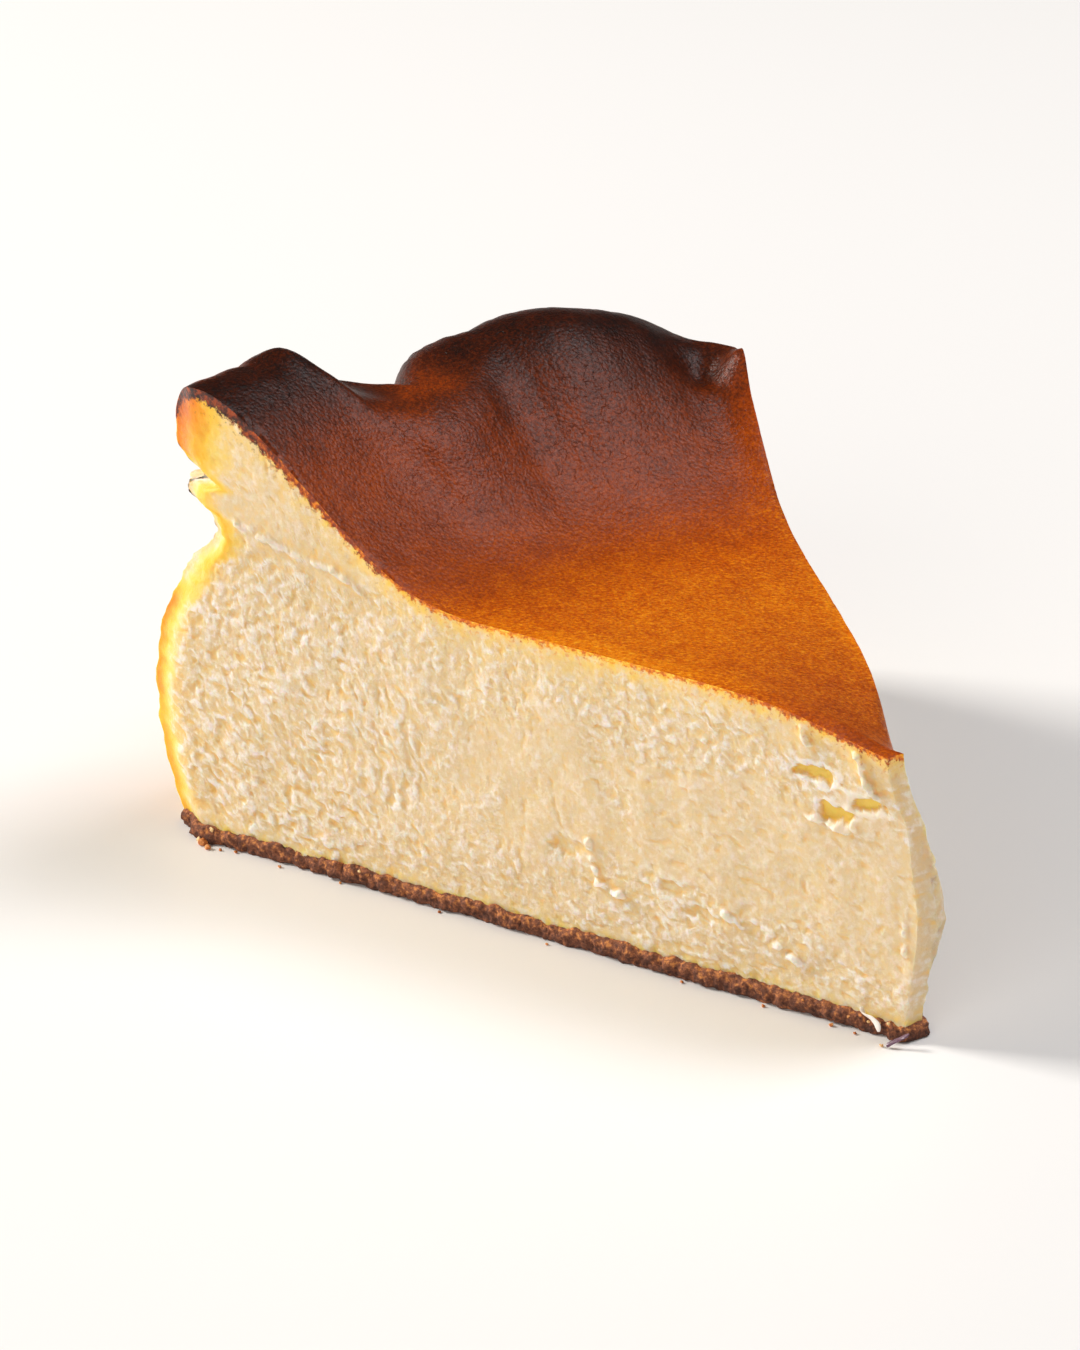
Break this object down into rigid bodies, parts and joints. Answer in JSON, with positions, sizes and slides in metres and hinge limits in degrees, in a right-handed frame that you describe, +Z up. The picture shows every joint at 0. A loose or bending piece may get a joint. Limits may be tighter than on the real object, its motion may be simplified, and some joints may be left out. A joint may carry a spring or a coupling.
{
  "type": "basque burnt cheesecake slice",
  "caption": "Wedge of basque burnt cheesecake with a dark, sunken browned top, a craggy pale custard cut and a thin dark crumb base.",
  "frame": {"origin": "bottom centre of the slice's bounding box, on the face it rests on", "axes": "+X from the outer wall to the tip, +Y from the near cut to the far cut, +Z up"},
  "size_m": [0.1052, 0.0791, 0.0576],
  "materials": {
    "custard": "moist baked custard, pale cream where it is cut and caramel to near black on its browned skin",
    "crumb_base": "dry, dark brown crumb"
  },
  "bodies": {
    "root": {"custard": "custard", "crumb_base": "crumb_base"}
  },
  "joints": []
}
